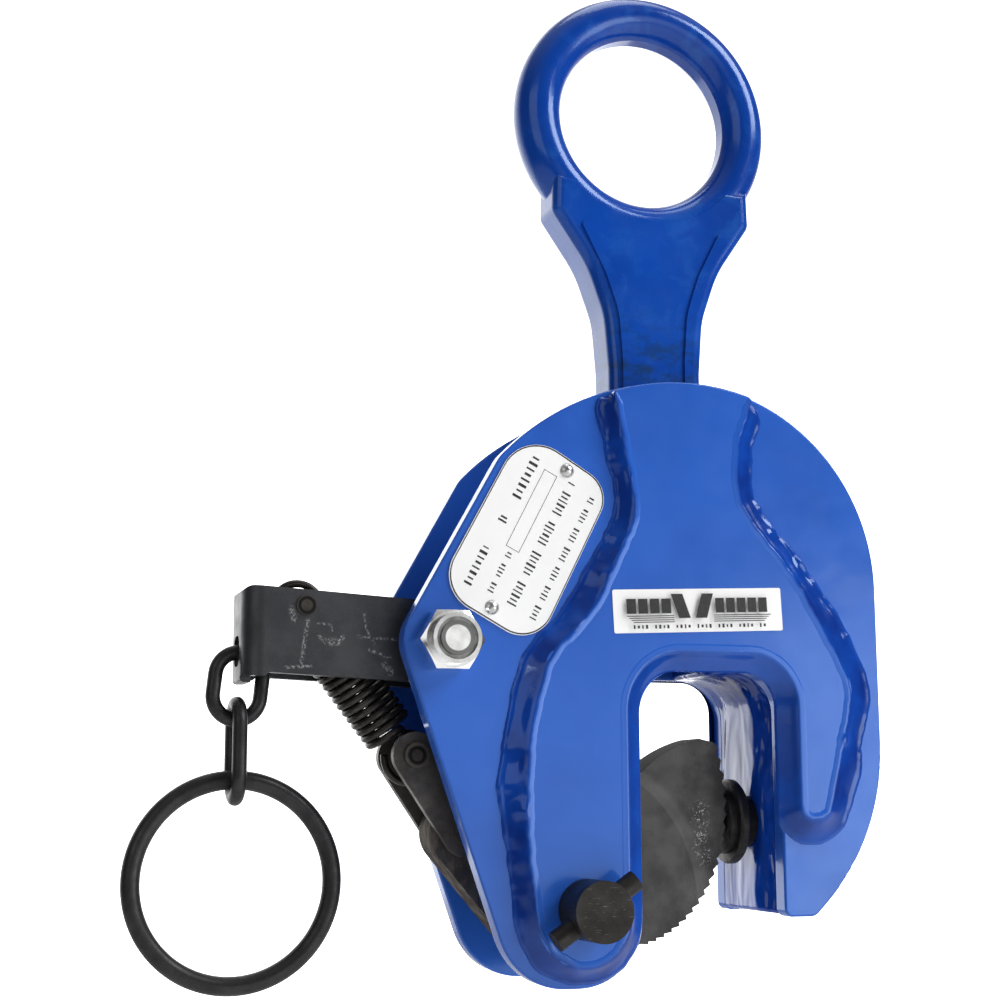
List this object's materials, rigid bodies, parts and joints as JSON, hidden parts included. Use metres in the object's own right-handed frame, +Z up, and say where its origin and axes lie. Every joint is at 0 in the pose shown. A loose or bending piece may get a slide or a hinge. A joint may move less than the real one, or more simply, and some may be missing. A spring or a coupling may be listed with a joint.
{
  "type": "plate lifting clamp",
  "caption": "Vertical plate lifting clamp: steel side plates round a downward jaw, toothed cam against a swivel pad, lifting eye shackle, and a spring lock lever with chain and pull ring.",
  "frame": {"origin": "centre of the lifting eye", "axes": "+Z up towards the hook, +X towards the fixed jaw, -Y the front side with the nameplate; the jaw mouth opens downwards"},
  "size_m": [0.2318, 0.0805, 0.3224],
  "materials": {
    "plate_paint": "gloss",
    "weld_paint": "gloss",
    "shackle_paint": "gloss",
    "cam_steel": "satin",
    "pad_steel": "satin",
    "pin_oxide": "satin",
    "lever_black": "satin",
    "link_steel": "satin",
    "spring_steel": "satin",
    "chain_black": "satin",
    "zinc": "polished",
    "nylon": "matte",
    "name_metal": "satin",
    "rivet_metal": "satin",
    "label_vinyl": "gloss"
  },
  "bodies": {
    "shackle": {"lifting_shackle": "shackle_paint", "shackle_pin": "pin_oxide"},
    "frame": {"front_side_plate": "plate_paint", "rear_side_plate": "plate_paint", "front_reinforcing_plate": "plate_paint", "rear_reinforcing_plate": "plate_paint", "front_weld_beads": "weld_paint", "rear_weld_beads": "weld_paint", "jaw_block": "plate_paint", "pad_retaining_pin": "pin_oxide", "lever_bolt": "zinc", "lever_nut": "zinc", "nut_insert": "nylon", "front_lever_spacer": "pin_oxide", "rear_lever_spacer": "pin_oxide", "centre_spacer_sleeve": "pin_oxide", "cam_pin": "pin_oxide", "cam_cross_pin": "pin_oxide", "cam_pin_retaining_ring": "pin_oxide", "nameplate": "name_metal", "nameplate_rivets": "rivet_metal", "front_label": "label_vinyl"},
    "cam": {"toothed_cam": "cam_steel", "cam_link_pin": "pin_oxide", "toggle_lower_pin": "link_steel"},
    "shackle_links": {"front_shackle_link": "link_steel", "rear_shackle_link": "link_steel"},
    "toggle": {"front_toggle_link": "link_steel", "rear_toggle_link": "link_steel", "toggle_upper_pin": "link_steel"},
    "spring": {"cam_spring": "spring_steel"},
    "lever": {"lock_lever": "lever_black", "lever_spring_pin": "pin_oxide"},
    "pad": {"swivel_pad": "pad_steel"},
    "upper_link": {"upper_chain_link": "chain_black"},
    "lower_link": {"lower_chain_link": "chain_black"},
    "ring": {"pull_ring": "chain_black"}
  },
  "joints": [
    {"name": "frame_slide", "type": "slide", "parent": "shackle", "child": "frame", "axis": [0, 0, 1], "range_m": [0, 0.0208]},
    {"name": "cam_swing", "type": "hinge", "parent": "frame", "child": "cam", "pos_m": [-0.033, 0, -0.2544], "axis": [0, -1, 0], "range_deg": [0, 65]},
    {"name": "link_swing", "type": "hinge", "parent": "cam", "child": "shackle_links", "pos_m": [-0.042, 0, -0.23881], "axis": [0, -1, 0], "range_deg": [-70, 0]},
    {"name": "toggle_swing", "type": "hinge", "parent": "cam", "child": "toggle", "pos_m": [-0.06389, 0, -0.23261], "axis": [0, -1, 0], "range_deg": [-75, 0]},
    {"name": "spring_swing", "type": "hinge", "parent": "toggle", "child": "spring", "pos_m": [-0.0794, 0, -0.2097], "axis": [0, -1, 0], "range_deg": [0, 4]},
    {"name": "lever_swing", "type": "hinge", "parent": "frame", "child": "lever", "pos_m": [-0.0743, 0, -0.1769], "axis": [0, -1, 0], "range_deg": [0, 51], "deforming": ["cam_spring"]},
    {"name": "upper_link_swing", "type": "hinge", "parent": "lever", "child": "upper_link", "pos_m": [-0.1302, 0, -0.1858], "axis": [0, -1, 0], "range_deg": [-76, 0]},
    {"name": "lower_link_swing", "type": "hinge", "parent": "upper_link", "child": "lower_link", "pos_m": [-0.1314, 0, -0.19455], "axis": [1, 0, 0], "range_deg": [-11, 11]},
    {"name": "ring_swing", "type": "hinge", "parent": "lower_link", "child": "ring", "pos_m": [-0.1316, 0, -0.2168], "axis": [0, -1, 0], "range_deg": [-14, 10]},
    {"name": "pad_spin", "type": "hinge", "parent": "frame", "child": "pad", "pos_m": [0.025, 0, -0.2297], "axis": [-1, 0, 0], "continuous": true}
  ],
  "couplings": [
    {"joint": "cam_swing", "follows": "frame_slide", "rad_per_m": 54.457},
    {"joint": "link_swing", "follows": "frame_slide", "rad_per_m": -58.099},
    {"joint": "toggle_swing", "follows": "frame_slide", "rad_per_m": -62.626},
    {"joint": "spring_swing", "follows": "frame_slide", "rad_per_m": 3.2674},
    {"joint": "lever_swing", "follows": "frame_slide", "rad_per_m": 42.204},
    {"joint": "upper_link_swing", "follows": "frame_slide", "rad_per_m": -63.17}
  ]
}
